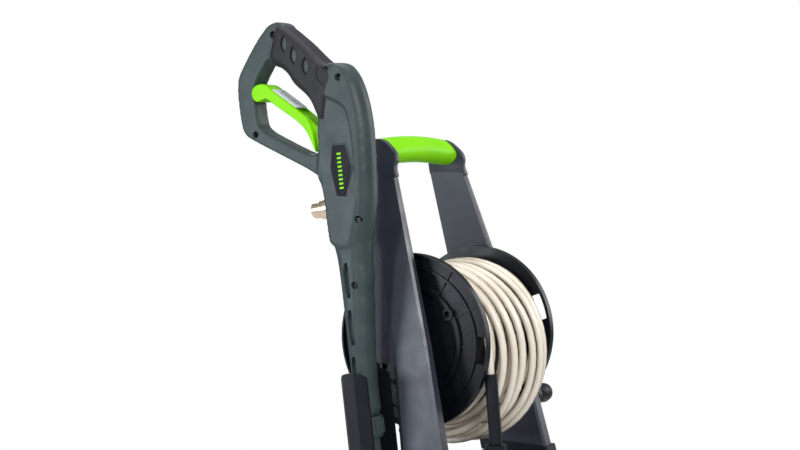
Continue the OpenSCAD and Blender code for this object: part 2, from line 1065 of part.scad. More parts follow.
module reel_drum() {
    color(black)
        at_reel()
            difference() {
                union() {
                    translate([0, 0, -inner_x])
                        difference() {
                            cylinder(r = drum_r, h = 2 * inner_x);
                            translate([0, 0, -1])
                                cylinder(r = drum_r - 3, h = 2 * inner_x + 2);
                        }
                    translate([0, 0, -inner_x])
                        cylinder(r = hub_bore_r + 5, h = 2 * inner_x);
                    for (a = [17:60:317])
                        rotate([0, 0, a])
                            translate([hub_bore_r + 3, -1.5, 3 - inner_x])
                                cube([drum_r - hub_bore_r - 4.5, 3, 2 * inner_x - 6]);
                }
                translate([0, 0, -inner_x - 1])
                    cylinder(r = hub_bore_r, h = hub_depth);
                translate([0, 0, inner_x - 60])
                    cylinder(r = crank_shaft_r + seat, h = 70);
            }
}

arm_t = 9;
arm_len = 116;
arm_dir = 118;
crank_x0 = leg_x(reel_z - arm_len) + 3;
collar_x = leg_x(reel_z - hub_bore_r - 5) + room;
module crank_shaft() {
    color(steel)
        at_reel() {
            translate([0, 0, inner_x - 55])
                cylinder(r = crank_shaft_r, h = crank_x0 - inner_x + 55);
            translate([0, 0, inner_x + 9])
                cylinder(r = hub_bore_r + 5, h = boss_x0 - inner_x - 9 - room);
            translate([0, 0, collar_x])
                cylinder(r = hub_bore_r + 5, h = crank_x0 - collar_x);
        }
}

knob_len = 37;
module at_crank_end() {
    at_reel()
        rotate([0, 0, -arm_dir])
            translate([0, arm_len, crank_x0])
                children();
}

module crank_arm() {
    color(black)
        at_reel()
            rotate([0, 0, -arm_dir])
                translate([0, 0, crank_x0])
                    difference() {
                        union() {
                            cylinder(r = 19, h = arm_t);
                            translate([0, arm_len, 0])
                                cylinder(r = 14, h = arm_t);
                            linear_extrude(arm_t)
                                polygon([[-18, 4], [18, 4], [13.5, arm_len], [-13.5, arm_len]]);
                            translate([0, arm_len, arm_t])
                                cylinder(r = 5, h = knob_len - 2);
                        }
                        translate([0, 0, arm_t - 3])
                            linear_extrude(5)
                                polygon([[-10, 26], [10, 26], [7, arm_len - 22], [-7, arm_len - 22]]);
                    }
}

module crank_knob() {
    color(black)
        at_crank_end()
            translate([0, 0, arm_t + room])
                difference() {
                    union() {
                        rotate_extrude()
                            polygon([[0, 0], [9, 0], [11, 3], [13.5, 14], [14.5, 24], [13, 32],
                                     [9, knob_len - 0.5], [0, knob_len - 0.5]]);
                        for (a = [0:60:300])
                            rotate([0, 0, a])
                                translate([12, 0, 6])
                                    cylinder(r = 2, h = 22);
                    }
                    translate([0, 0, -1])
                        cylinder(r = 5 + fit, h = knob_len - 2 + 0.6);
                }
}

// ---- Hose: the wound turns, the free end and what is on it ----
coil_in = drum_r + 0.3 + hose_sag;
coil_out = coil_in + 2.3 * hose_d;
coil_x0 = -60;
coil_x1 = inner_x - 2;
module hose_coil() {
    color(beige)
        translate([0, reel_y, reel_z - hose_sag])
            rotate([0, 90, 0])
                rotate_extrude($fn = 120)
                    polygon([[coil_in, coil_x0], [coil_out - 3, coil_x0], [coil_out, coil_x0 + 6],
                             [coil_out, coil_x1 - 18], [coil_out - 11, coil_x1], [coil_in, coil_x1]]);
}

// The free end leaves the drum beside the left flange, over the top and down the front
tail = [[-71, 14, 741], [-71, -2, 748], [-71, -18, 752], [-71, -34, 754], [-71, -51, 753], [-71, -68, 748],
        [-71, -83, 742], [-71, -98, 734], [-71, -112, 723], [-71, -124, 710], [-71, -133, 696],
        [-71, -139, 681],
        [-71, -142, 666], [-71, -144, 652], [-71, -145, 638], [-71, -146, 623]];

function unit(v) = v / norm(v);
function tangent(p, i) = unit(p[min(i + 1, len(p) - 1)] - p[max(i - 1, 0)]);
// A tube of n sides along p: rings of points across the path, whose path lies in a plane of constant x
function ring(p, i, r, n) = let (t = tangent(p, i), side = [1, 0, 0], up = cross(side, t))
    [for (k = [0:n - 1]) p[i] + r * (cos(360 * k / n) * side + sin(360 * k / n) * up)];
module tube(p, r, n) {
    last = len(p) - 1;
    polyhedron(
        points = [for (i = [0:last]) each ring(p, i, r, n)],
        faces = concat(
            [[for (k = [0:n - 1]) k]],
            [for (i = [0:last - 1], k = [0:n - 1])
                [i * n + k, (i + 1) * n + k, (i + 1) * n + (k + 1) % n, i * n + (k + 1) % n]],
            [[for (k = [n - 1:-1:0]) last * n + k]]));
}

module hose_tail() {
    color(beige)
        tube(tail, hose_d / 2, 10);
}

sleeve_end = [-72, -155, body_top + 57];
module hose_sleeve() {
    color(black)
        rod(tail[len(tail) - 1] - [0, 0, 0.3], sleeve_end, sleeve_d / 2);
}

module hose_fitting() {
    color(black)
        translate(sleeve_end) {
            translate([0, 0, -2])
                cylinder(r = sleeve_d / 2 + 1.5, h = 1);
            translate([0, 0, -26])
                cylinder(r = 14, h = 25);
            translate([0, 0, body_top + room - sleeve_end[2]])
                cylinder(r = spigot_r, h = sleeve_end[2] - body_top - 1);
        }
}

// ---- Trigger gun, drawn in its own plane: u points to the rear, v up along the lance ----
gun_x = -(leg_x(reel_z) + 29);
gun_foot = [reel_y + 18, reel_z - 105];
lance_u = 3;

// Puts a drawing in the gun's plane, t thick and centred on the gun's mid-plane
module in_gun() {
    translate([gun_x, gun_foot[0], gun_foot[1]])
        rotate([-gun_lean, 0, 0])
            children();
}

module gun_plate(t) {
    in_gun()
        translate([-t / 2, 0, 0])
            rotate([90, 0, 90])
                linear_extrude(t)
                    children();
}

loop_t = 26;
handle_core_t = 30;

module loop_outline() {
    difference() {
        polygon([[20, 322], [43, 341], [92, 369], [143, 398], [153, 405], [158, 417], [160, 450], [159, 474],
                 [155, 485], [141, 502], [118, 527], [98, 544], [86, 549], [74, 549], [66, 538],
                 [50, 500], [0, 470], [0, 340]]);
        polygon([[98, 505], [125, 476], [131, 462], [131, 421], [126, 409], [93, 389], [50, 365], [34, 362],
                 [25, 372], [24, 400], [26, 416], [33, 436], [44, 448], [55, 459], [66, 476], [78, 487],
                 [90, 494]]);
    }
}

module body_outline_2d() {
    polygon([[-50, 400], [-50, 372], [-46, 318], [-42, 295], [-37, 272], [-23, 243], [25, 246], [25, 318],
             [34, 335], [25, 372], [24, 400], [8, 440], [-2, 468], [-10, 475], [-20, 475], [-31, 469],
             [-41, 451], [-47, 427]]);
}

module foregrip_outline() {
    polygon([[-23, 243], [-21, 220], [-18, 212], [-19, 190], [-15, 172], [-16, 160], [-14, 128], [-10, 72],
             [-8, 40], [-12, 12], [18, 12], [15, 30], [17, 60], [17, 214], [25, 246]]);
}

module grip_region() {
    polygon([[70, 546], [64, 537], [50, 523], [35, 509], [19, 491], [8, 480], [-2, 472], [-15, 465],
             [-6, 441], [1, 429], [9, 398], [21, 405], [25, 410], [26, 416], [33, 436], [44, 448],
             [55, 459], [66, 476],
             [78, 487], [86, 489], [90, 494], [96, 502], [84, 528]]);
}

// Core of the handle, under the overmould
module grip_core(g) {
    polygon([[76 - g, 545], [70 - g, 530 + g], [48 - g, 512 + g], [12 - g, 477 + g], [-12 - g, 462 + g],
             [-30, 460], [-24, 400], [20 + g, 396 - g], [23 + g, 420], [40 + g, 452 - g], [62 + g, 484 - g],
             [92 + g, 500 - g], [96, 520]]);
}

module gun_solid() {
    gun_plate(gun_t)
        difference() {
            body_outline_2d();
            grip_region();
        }
    gun_plate(gun_t - 2)
        foregrip_outline();
    gun_plate(loop_t)
        difference() {
            loop_outline();
            grip_region();
            body_outline_2d();
        }
    gun_plate(handle_core_t)
        intersection() {
            grip_core(0);
            union() {
                grip_region();
                loop_outline();
                body_outline_2d();
            }
        }
}

valve_r = 8;
inlet_v = 290;
pivot = [4, 386];
module gun_hollow() {
    in_gun() {
        translate([0, lance_u, 0])
            cylinder(r = valve_r + seat, h = 330);
        translate([0, lance_u, inlet_v])
            rotate([-90, 0, 0])
                cylinder(r = valve_r + seat, h = 40);
        translate([0, lance_u, 320])
            cylinder(r = 11, h = 34);
    }
    // Room for the trigger's tail
    gun_plate(22)
        polygon([[-14, 366], [-14, 404], [2, 408], [26, 408], [40, 408], [40, 352], [20, 352], [-4, 358]]);
    // Pivot holes
    in_gun()
        translate([-20, pivot[0], pivot[1]])
            rotate([0, 90, 0])
                cylinder(r = 3 + seat, h = 40);
    // Screw recesses on the visible side
    for (p = SCREWS)
        in_gun()
            translate([0, p[0], p[1]])
                rotate([0, -90, 0]) {
                    cylinder(r = 2.2, h = 40);
                    translate([0, 0, p[2] / 2 - 6])
                        cylinder(r = 5, h = 20);
                }
    // Slots in the foregrip's side
    for (s = [[0, 196, 42, 9], [5, 128, 52, 8], [9, 76, 30, 6]])
        in_gun()
            translate([-gun_t / 2, s[0], s[1]])
                cube([10, s[3], s[2]], center = true);
}
// Each screw's place and the thickness of the gun there
SCREWS = [[88, 533, loop_t], [-24, 455, gun_t], [138, 408, loop_t], [-26, 268, gun_t], [-8, 185, gun_t - 2]];

module gun_left_shell() {
    color(gun_green)
        difference() {
            gun_solid();
            gun_hollow();
            in_gun()
                translate([0, -200, -200])
                    cube([100, 500, 900]);
        }
}

module gun_right_shell() {
    color(gun_green)
        difference() {
            gun_solid();
            gun_hollow();
            in_gun()
                translate([-100, -200, -200])
                    cube([100, 500, 900]);
        }
}

module grip_overmould() {
    color([0.18, 0.17, 0.21])
        difference() {
            gun_plate(gun_t)
                grip_region();
            gun_plate(handle_core_t + 2 * seat)
                grip_core(seat);
        }
}

module gun_valve() {
    color(steel)
        in_gun() {
            translate([0, lance_u, 13])
                cylinder(r = valve_r, h = 315);
            translate([0, lance_u, inlet_v])
                rotate([-90, 0, 0])
                    cylinder(r = valve_r, h = 24);
            translate([0, lance_u, 328])
                cylinder(r = 4, h = 20);
            translate([0, pivot[0], pivot[1]])
                rotate([0, 90, 0])
                    cylinder(r = 3, h = 32, center = true);
        }
}

module gun_inlet() {
    color(brass)
        in_gun()
            translate([0, 0, inlet_v])
                rotate([-90, 0, 0])
                    difference() {
                        union() {
                            translate([0, 0, 25.3])
                                cylinder(r = 14.5, h = 11);
                            translate([0, 0, 36])
                                cylinder(r = 13.4, h = 6);
                            translate([0, 0, 42])
                                cylinder(r = 11, h = 13);
                        }
                        translate([0, 0, 24])
                            cylinder(r = valve_r + seat, h = 4);
                        translate([0, 0, 27])
                            cylinder(r = 4.5, h = 40);
                    }
}

trigger_t = 32;
module trigger() {
    color(lime)
        difference() {
            union() {
                gun_plate(trigger_t)
                    polygon([[122, 470], [112, 469], [98, 457], [70, 436], [52, 421], [44, 413], [47, 398],
                             [58, 410], [76, 424], [98, 441], [112, 452], [118, 452], [122, 458]]);
                gun_plate(18)
                    polygon([[52, 421], [38, 408], [30, 398], [12, 397], [-4, 394], [-8, 386],
                             [-4, 378], [6, 374], [26, 364], [30, 361], [36, 363], [40, 374],
                             [44, 388], [50, 402]]);
            }
            in_gun()
                translate([-20, pivot[0], pivot[1]])
                    rotate([0, 90, 0])
                        cylinder(r = 3 + fit, h = 40);
            in_gun()
                translate([-10 - fit, lock_pin[0], lock_pin[1]])
                    rotate([0, 90, 0])
                        cylinder(r = 1.6 + fit, h = 20 + 2 * fit);
            gun_plate(12)
                polygon([[58, 436], [58, 424], [70, 432], [100, 455], [112, 466], [104, 480], [90, 466]]);
        }
}

lock_pin = [65, 433];
module trigger_lock() {
    color([0.75, 0.77, 0.78]) {
        gun_plate(11)
            polygon([[60, 430], [64, 429], [72, 435], [98, 454.9], [103, 464], [98, 464],
                     [88, 457], [64, 438]]);
        in_gun()
            translate([-10, lock_pin[0], lock_pin[1]])
                rotate([0, 90, 0])
                    cylinder(r = 1.6, h = 20);
    }
}

module gun_screws() {
    color(steel)
        for (p = SCREWS)
            in_gun()
                translate([0, p[0], p[1]])
                    rotate([0, -90, 0]) {
                        translate([0, 0, 1])
                            cylinder(r = 2, h = p[2] / 2 - 7);
                        translate([0, 0, p[2] / 2 - 5.8])
                            cylinder(r = 4, h = 2.5);
                    }
}

collar_v = -12;
collar_h = 23.6;
module lance_collar() {
    color(gun_green)
        in_gun()
            translate([0, lance_u, collar_v])
                difference() {
                    union() {
                        cylinder(r = 17, h = collar_h);
                        for (a = [0:30:330])
                            rotate([0, 0, a])
                                translate([17, 0, 2])
                                    cylinder(r = 1.2, h = collar_h - 6);
                    }
                    translate([0, 0, -1])
                        cylinder(r = lance_r + fit, h = collar_h + 2);
                }
}

module lance() {
    color(gun_green)
        in_gun()
            translate([0, lance_u, collar_v - lance_len]) {
                cylinder(r = lance_r, h = lance_len + 23.2);
                translate([0, 0, lance_len - 3.4])
                    cylinder(r = 15, h = 3);
            }
}

module spray_nozzle() {
    color(black)
        in_gun()
            translate([0, lance_u, nozzle_v])
                difference() {
                    union() {
                        cylinder(r = 13, h = 46);
                        cylinder(r1 = 9, r2 = 13, h = 6);
                    }
                    translate([0, 0, 30 - room])
                        cylinder(r = lance_r + fit, h = 40);
                    translate([0, 0, -1])
                        cylinder(r = 3, h = 20);
                }
}

// ---- Holster ----
hol_out = 32;
hol_in = 30;
hol_wall = 4;
hol_back = 27;
hol_front = -15;
hol_top = 72;
hol_low = -66;
strap_t = 4;

// Plan of the channel that the fore-end of the gun drops into, open to the front
module channel_plan() {
    lip = 8;
    bevel = 10;
    difference() {
        polygon([[lip - hol_out, hol_front], [hol_in, hol_front], [hol_in, hol_back],
                 [bevel - hol_out, hol_back], [-hol_out, hol_back - bevel], [-hol_out, hol_front + 14]]);
        polygon([[lip - hol_out + hol_wall, hol_front - 1], [hol_in - hol_wall, hol_front - 1],
                 [hol_in - hol_wall, hol_back - hol_wall], [bevel - hol_out + 2, hol_back - hol_wall],
                 [hol_wall - hol_out, hol_back - bevel - 2], [hol_wall - hol_out, hol_front + 15]]);
    }
}

module holster() {
    color(black)
        difference() {
            union() {
                in_gun()
                    translate([0, 0, hol_low])
                        intersection() {
                            linear_extrude(hol_top - hol_low)
                                channel_plan();
                            // Round tops of the side walls
                            translate([-100, 0, 0])
                                rotate([90, 0, 90])
                                    linear_extrude(200) {
                                        translate([hol_front, -10])
                                            square([hol_back - hol_front, hol_top - hol_low - 22]);
                                        intersection() {
                                            translate([(hol_front + hol_back) / 2, hol_top - hol_low - 32])
                                                circle(32);
                                            translate([hol_front, 0])
                                                square([hol_back - hol_front, 200]);
                                        }
                                    }
                        }
                // Gussets between the channel and the leg
                in_gun()
                    for (v = [-50, 0, 50])
                        translate([hol_in - 4, hol_front - 34, v])
                            cube([10, 38, 4]);
                // Strap that lies along the back of the leg
                mirror([1, 0, 0])
                    translate([0, strap_t + seat, 0])
                        leg_run(body_top + socket_h + 8, notch_z - 2, 0, false);
            }
            // Room for the leg itself
            mirror([1, 0, 0]) {
                leg_run(body_top, notch_z, seat, false);
                leg_run(notch_z, reel_z, seat, true);
                for (z = holster_screws)
                    leg_screw(z, screw_r, 24);
            }
        }
}

nozzle_v = collar_v - lance_len - 30;
cup_v = nozzle_v - 4 - room;
module lance_cup() {
    color(black)
        difference() {
            union() {
                in_gun()
                    translate([0, lance_u, cup_v])
                        cylinder(r = 19, h = 60);
                in_gun()
                    translate([2, lance_u - 19, cup_v + 10])
                        cube([-gun_x - body_w / 2 - 2, 38, 36]);
            }
            in_gun()
                translate([0, lance_u, cup_v + 4])
                    cylinder(r = 15.5, h = 90);
            across(body_w)
                polygon(body_outline(-60, 0));
        }
}

chassis();
front_feet();
front_cover();
rear_cover();
top_deck();
left_leg();
right_leg();
handle_bar();
handle_grip();
holster();
lance_cup();
body_screws();
motor_can();
stator();
armature();
shaft_bearings();
gear_case();
pump_gear();
wobble_plate();
pump_head();
pump_pistons();
pressure_switch();
capacitor();
switch_box();
switch_knob();
cord_gland();
detergent_tank();
tank_cap();
inlet_pipe();
inlet_collar();
feed_pipe();
feed_union();
axle();
left_rim();
left_tyre();
left_hub_cap();
right_rim();
right_tyre();
right_hub_cap();
left_flange();
right_flange();
reel_drum();
crank_shaft();
crank_arm();
crank_knob();
hose_coil();
hose_tail();
hose_sleeve();
hose_fitting();
gun_left_shell();
gun_right_shell();
grip_overmould();
gun_valve();
gun_inlet();
trigger();
trigger_lock();
gun_screws();
lance_collar();
lance();
spray_nozzle();
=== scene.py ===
"""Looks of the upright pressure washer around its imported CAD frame. Blender 4.5, metres, Z up.

Outlines and places of moulded pieces are written in millimetres, as in the part's source, and become
metres where they turn into vertices.
"""
import json
import math

import bmesh
import bpy
from mathutils import Matrix, Vector


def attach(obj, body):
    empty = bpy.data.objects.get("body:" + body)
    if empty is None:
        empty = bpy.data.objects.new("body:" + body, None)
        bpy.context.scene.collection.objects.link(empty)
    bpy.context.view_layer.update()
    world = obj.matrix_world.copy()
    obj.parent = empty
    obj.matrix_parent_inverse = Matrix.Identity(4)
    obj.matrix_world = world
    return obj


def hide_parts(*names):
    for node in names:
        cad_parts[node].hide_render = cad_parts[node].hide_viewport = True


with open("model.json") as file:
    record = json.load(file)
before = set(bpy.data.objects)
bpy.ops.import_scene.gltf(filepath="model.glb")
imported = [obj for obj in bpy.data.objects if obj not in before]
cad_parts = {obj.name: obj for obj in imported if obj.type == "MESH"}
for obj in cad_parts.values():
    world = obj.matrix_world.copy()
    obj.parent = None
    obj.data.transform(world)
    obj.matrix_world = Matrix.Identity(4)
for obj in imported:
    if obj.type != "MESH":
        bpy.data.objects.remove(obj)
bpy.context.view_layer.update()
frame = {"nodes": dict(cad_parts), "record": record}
nodes = frame["nodes"]
scene = bpy.context.scene
MM = 0.001


def set_up(name, data, place, back):
    """Puts a camera or a lamp at place, with its back towards the direction back."""
    obj = bpy.data.objects.new(name, data)
    obj.location = place
    obj.rotation_mode = "QUATERNION"
    obj.rotation_quaternion = back.to_track_quat("Z", "Y")
    scene.collection.objects.link(obj)
    return obj


# ---------------------------------------------------------------- camera
CAMERA_PLACE = (-1.5987, -1.0595, 0.9091)
CAMERA_BACK = (-0.821, -0.5685, 0.0511)
FOCAL_MM, SENSOR_MM = 61.5, 36

camera_data = bpy.data.cameras.new("camera")
camera_data.lens = FOCAL_MM
camera_data.sensor_width = SENSOR_MM
scene.camera = set_up("camera", camera_data, CAMERA_PLACE, Vector(CAMERA_BACK).normalized())


# ---------------------------------------------------------------- materials
class Nodes:
    """Short calls for building a material's node tree around its Principled shader."""

    def __init__(self, name, roughness, **sockets):
        self.material = bpy.data.materials.new(name)
        self.material.use_nodes = True
        self.tree = self.material.node_tree
        self.shader = self.tree.nodes["Principled BSDF"]
        self.shader.inputs["Roughness"].default_value = roughness
        for key, value in sockets.items():
            self.shader.inputs[key.replace("_", " ")].default_value = value
        self.coords = self.tree.nodes.new("ShaderNodeTexCoord").outputs["Object"]

    def add(self, kind, **values):
        node = self.tree.nodes.new(kind)
        for key, value in values.items():
            setattr(node, key, value)
        return node

    def join(self, a, b):
        self.tree.links.new(a, b)

    def noise(self, scale, detail, stretch=(1, 1, 1)):
        mapping = self.add("ShaderNodeMapping")
        mapping.inputs["Scale"].default_value = stretch
        texture = self.add("ShaderNodeTexNoise")
        texture.inputs["Scale"].default_value = scale
        texture.inputs["Detail"].default_value = detail
        texture.inputs["Roughness"].default_value = 0.55
        self.join(self.coords, mapping.inputs["Vector"])
        self.join(mapping.outputs[0], texture.inputs["Vector"])
        return texture.outputs["Fac"]

    def ramp(self, value, stops):
        ramp = self.add("ShaderNodeValToRGB")
        first, *middle, last = stops
        for element, (position, colour) in zip(ramp.color_ramp.elements, (first, last)):
            element.position = position
            element.color = (*colour, 1)
        for position, colour in middle:
            ramp.color_ramp.elements.new(position).color = (*colour, 1)
        self.join(value, ramp.inputs["Fac"])
        return ramp.outputs["Color"]

    def span(self, value, low, high, lo_in=0.3, hi_in=0.7):
        """The value, carried from lo_in to hi_in over to the range from low to high."""
        node = self.add("ShaderNodeMapRange")
        numbers = {"From Min": lo_in, "From Max": hi_in, "To Min": low, "To Max": high}
        for key, number in numbers.items():
            node.inputs[key].default_value = number
        self.join(value, node.inputs["Value"])
        return node.outputs["Result"]

    def bump(self, height, strength):
        """Surface relief up to GRAIN_HEIGHT from a height texture."""
        node = self.add("ShaderNodeBump")
        node.inputs["Strength"].default_value = strength
        node.inputs["Distance"].default_value = GRAIN_HEIGHT
        self.join(height, node.inputs["Height"])
        return node.outputs["Normal"]

    def set(self, socket, output):
        self.join(output, self.shader.inputs[socket])


GRAIN_HEIGHT = 0.2 * MM
MOTTLE_SCALE = 14  # of the slow change between a plastic's two tones
M = {}  # every finish by its name, which is the record's slot where it has one


def plastic(name, low, high, roughness, grain=900, depth=0.12, **sockets):
    """Moulded plastic: two close tones, a fine spark-eroded grain and a little wear in its gloss."""
    wear = 0.06
    m = Nodes(name, roughness, **sockets)
    m.set("Base Color", m.ramp(m.noise(MOTTLE_SCALE, 4), [(0.32, low), (0.68, high)]))
    m.set("Roughness", m.span(m.noise(MOTTLE_SCALE * 3, 5), roughness - wear, roughness + wear))
    m.set("Normal", m.bump(m.noise(grain, 2), depth))
    M[name] = m.material


def metal(name, low, high, roughness, stretch=(1, 1, 1), depth=0.15):
    """Machined or cast metal: two tones, an uneven gloss and a fine relief, finer along a stretched axis."""
    tone_scale, gloss_scale, relief_scale = 60, 160, 500
    m = Nodes(name, roughness, Metallic=1.0)
    m.set("Base Color", m.ramp(m.noise(tone_scale, 4, stretch), [(0.3, low), (0.7, high)]))
    m.set("Roughness", m.span(m.noise(gloss_scale, 3, stretch), roughness - 0.08, roughness + 0.1))
    m.set("Normal", m.bump(m.noise(relief_scale, 2, stretch), depth))
    M[name] = m.material


def hose_skin():
    """A glossy clear sleeve over a beige core, with painted light in its base colour: a painted highlight,
    paler where it faces the eye, and painted shade, browner at its edges.
    """
    painted_highlight_and_shade_tones = [(0.0, (0.90, 0.83, 0.73)), (0.35, (0.80, 0.72, 0.60)), (0.75, (0.40, 0.33, 0.24))]
    m = Nodes("hose_beige", 0.24)
    weight = m.add("ShaderNodeLayerWeight")
    weight.inputs["Blend"].default_value = 0.5
    # painted highlight and painted shade: the base colour turns from pale to brown as the surface turns away
    # from the eye
    edge = m.ramp(weight.outputs["Facing"], painted_highlight_and_shade_tones)
    mix = m.add("ShaderNodeMix", data_type="RGBA", blend_type="MULTIPLY")
    mix.inputs["Factor"].default_value = 1.0
    m.join(edge, mix.inputs["A"])
    m.join(m.ramp(m.noise(30, 4), [(0.3, (0.88, 0.87, 0.85)), (0.7, (1, 1, 1))]), mix.inputs["B"])
    m.set("Base Color", mix.outputs["Result"])
    m.set("Normal", m.bump(m.noise(900, 2), 0.05))
    M["hose"] = m.material


plastic("cover_grey", (0.024, 0.028, 0.041), (0.031, 0.036, 0.051), 0.38, Specular_IOR_Level=0.5)
plastic("black_plastic", (0.006, 0.007, 0.010), (0.009, 0.010, 0.015), 0.42, Specular_IOR_Level=0.22)
plastic("reel_black", (0.003, 0.004, 0.006), (0.006, 0.007, 0.010), 0.30, depth=0.06,
        Specular_IOR_Level=0.20)
plastic("badge_black", (0.006, 0.005, 0.010), (0.010, 0.008, 0.016), 0.5, Specular_IOR_Level=0.2)
plastic("lime_plastic", (0.205, 0.64, 0.0), (0.23, 0.70, 0.001), 0.42, depth=0.08,
        Specular_IOR_Level=0.14)
plastic("gun_green", (0.031, 0.046, 0.048), (0.043, 0.062, 0.063), 0.40, grain=600,
        Specular_IOR_Level=0.25)
plastic("overmould", (0.011, 0.010, 0.014), (0.017, 0.016, 0.020), 0.55, grain=1200,
        Specular_IOR_Level=0.3)
plastic("silver_plastic", (0.48, 0.50, 0.53), (0.60, 0.62, 0.64), 0.35)
plastic("rubber", (0.012, 0.012, 0.012), (0.02, 0.02, 0.02), 0.7)
plastic("tyre", (0.010, 0.010, 0.011), (0.018, 0.018, 0.019), 0.62)
plastic("gear_nylon", (0.62, 0.60, 0.54), (0.7, 0.68, 0.62), 0.45)
plastic("tank_plastic", (0.6, 0.64, 0.67), (0.7, 0.73, 0.76), 0.4)
hose_skin()
metal("steel", (0.42, 0.43, 0.45), (0.55, 0.56, 0.58), 0.28)
metal("alloy", (0.36, 0.37, 0.39), (0.48, 0.49, 0.5), 0.45, depth=0.4)
metal("brass", (0.66, 0.52, 0.36), (0.78, 0.66, 0.50), 0.3, depth=0.04)
metal("dark_steel", (0.02, 0.02, 0.02), (0.035, 0.035, 0.037), 0.4)
metal("copper", (0.35, 0.13, 0.05), (0.5, 0.2, 0.09), 0.35, stretch=(1, 1, 9))


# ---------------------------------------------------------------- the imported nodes
def shade(obj, degrees=38):
    """Smooth faces, with a sharp edge where two meet at more than degrees."""
    for face in obj.data.polygons:
        face.use_smooth = True
    obj.data.set_sharp_from_angle(angle=math.radians(degrees))


slot_of = {row["node"]: row["material_slot"] for row in frame["record"]["subparts"]}
for node_name, obj in nodes.items():
    obj.data.materials.clear()
    obj.data.materials.append(M[slot_of[node_name]])
    if "custom_normal" in obj.data.attributes:
        obj.data.attributes.remove(obj.data.attributes["custom_normal"])
    shade(obj, degrees=28)
nodes["gun_screws"].data.materials[0] = M["dark_steel"]


def ride_as(obj, body, slot, *stands_for):
    """Lets obj ride on a body, in the place of the nodes it stands for. The slot is not used."""
    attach(obj, body)
    if stands_for:
        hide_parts(*stands_for)


# ---------------------------------------------------------------- the hose
HOSE_R = 5.2 * MM
REEL_CENTRE = Vector((0, -34, 660)) * MM

# One row a turn: x at the top, in front, below and behind, then how far it reaches to the
# front and to the back of the axis, and the heights of its top and its lowest point.
# The first four rows lie closer to the drum, and the others hang lower under it.
TURNS = [
    (-47, -50, -48, -40, 101, 103, 753.8, 548),
    (-28, -26, -30, -22, 103, 101, 754.0, 541),
    (-9, -8, -14, 6, 106, 104, 754.2, 535),
    (57, 58, 56, 46, 103, 106, 754.0, 550),
    (70, 63, 62, 68, 113, 118, 755.5, 531),
    (57, 53, 54, 58, 122, 124, 758.5, 516),
    (43, 42, 42, 44, 124, 126, 757.5, 509),
    (14, 25, 30, 26, 121, 126, 756.5, 513),
    (-6, -6, 6, 4, 123, 125, 757.5, 521),
    (-28, -26, -14, -16, 122, 126, 756.5, 514),
    (-53, -50, -42, -38, 119, 125, 755.0, 526),
    (-71, -71, -71, -62, 121, 125, 750.9, 508),
]
CHANGE_DEG = 120.0  # the part of a turn behind the reel in which one row gives way to the next
FIRST_DEG = 20.0  # where the winding starts: behind the drum, a little above its axis
LAST_DEG = 360.0 * (len(TURNS) - 1) + 67.4  # where its last turn meets the hose's end
STEP_DEG = 7.5

# The hose's end, from the top of the drum to the stiff sleeve: the points of the part's source.
TAIL = [(-71, 14, 741), (-71, -2, 748), (-71, -18, 752), (-71, -34, 754), (-71, -51, 753),
        (-71, -68, 748), (-71, -83, 742), (-71, -98, 734), (-71, -112, 723), (-71, -124, 710),
        (-71, -133, 696), (-71, -139, 681), (-71, -142, 666), (-71, -144, 652), (-71, -145, 638),
        (-71, -146, 623)]
TAIL_STEP = 6 * MM


def coil_point(phi):
    """The wound hose at phi degrees: behind the axis at 0, over its top at 90 and in front at 180."""
    k, local = divmod(phi + CHANGE_DEG / 2, 360.0)
    k = int(k)
    t = min(1.0, local / CHANGE_DEG)
    t = t * t * (3 - 2 * t)
    row = [a * (1 - t) + b * t for a, b in zip(TURNS[max(k - 1, 0)], TURNS[k])]
    x_top, x_front, x_low, x_back, reach_front, reach_back, z_top, z_low = row
    c, s = math.cos(math.radians(phi)), math.sin(math.radians(phi))
    x = (x_top * max(0, s) ** 2 + x_low * max(0, -s) ** 2
         + x_back * max(0, c) ** 2 + x_front * max(0, -c) ** 2)
    y = (reach_back if c > 0 else reach_front) * c
    z = (z_top + z_low) / 2 + (z_top - z_low) / 2 * s
    return Vector((x, REEL_CENTRE.y / MM + y, z)) * MM


def spread(points, step):
    """A smooth line through points (Catmull-Rom), with a point about every step metres."""
    ends = [points[0] * 2 - points[1]] + points + [points[-1] * 2 - points[-2]]
    out = []
    for a, b, c, d in zip(ends, ends[1:], ends[2:], ends[3:]):
        n = max(1, round((c - b).length / step))
        for i in range(n):
            t = i / n
            out.append(0.5 * (2 * b + (c - a) * t + (2 * a - 5 * b + 4 * c - d) * t * t
                              + (3 * b - a - 3 * c + d) * t ** 3))
    return out + [points[-1]]


def hose_piece(name, points, body, node):
    """A stretch of the hose as a curve of one open spline, in the place of a node."""
    data = bpy.data.curves.new(name, "CURVE")
    data.dimensions = "3D"
    data.bevel_depth = HOSE_R
    data.bevel_resolution = 6
    data.use_fill_caps = True
    data.resolution_u = 6
    spline = data.splines.new("POLY")
    spline.points.add(len(points) - 1)
    for target, p in zip(spline.points, points):
        target.co = (*p, 1)
    spline.use_smooth = True
    data.materials.append(M["hose"])
    obj = bpy.data.objects.new(name, data)
    scene.collection.objects.link(obj)
    ride_as(obj, body, "hose", node)
    return obj


steps = round((LAST_DEG - FIRST_DEG) / STEP_DEG)
coil_points = [coil_point(FIRST_DEG + (LAST_DEG - FIRST_DEG) * i / steps) for i in range(steps + 1)]
coil = hose_piece("hose_turns", coil_points, "reel", "hose_coil")
tail_points = spread([Vector(p) * MM for p in TAIL], TAIL_STEP)
tail = hose_piece("hose_end", tail_points, "root", "hose_tail")

# ---------------------------------------------------------------- moulded pieces
GUN_LEAN = math.radians(7.7)
GUN_FOOT = Vector((-155, -16, 555)) * MM
THROUGH = 30  # half the length of a cut that goes right through the gun


def in_gun(u, v, x):
    """A point of the holstered gun: u to its rear, v up its length, x across it, in millimetres."""
    c, s = math.cos(GUN_LEAN), math.sin(GUN_LEAN)
    return GUN_FOOT + Vector((x, u * c + v * s, -u * s + v * c)) * MM


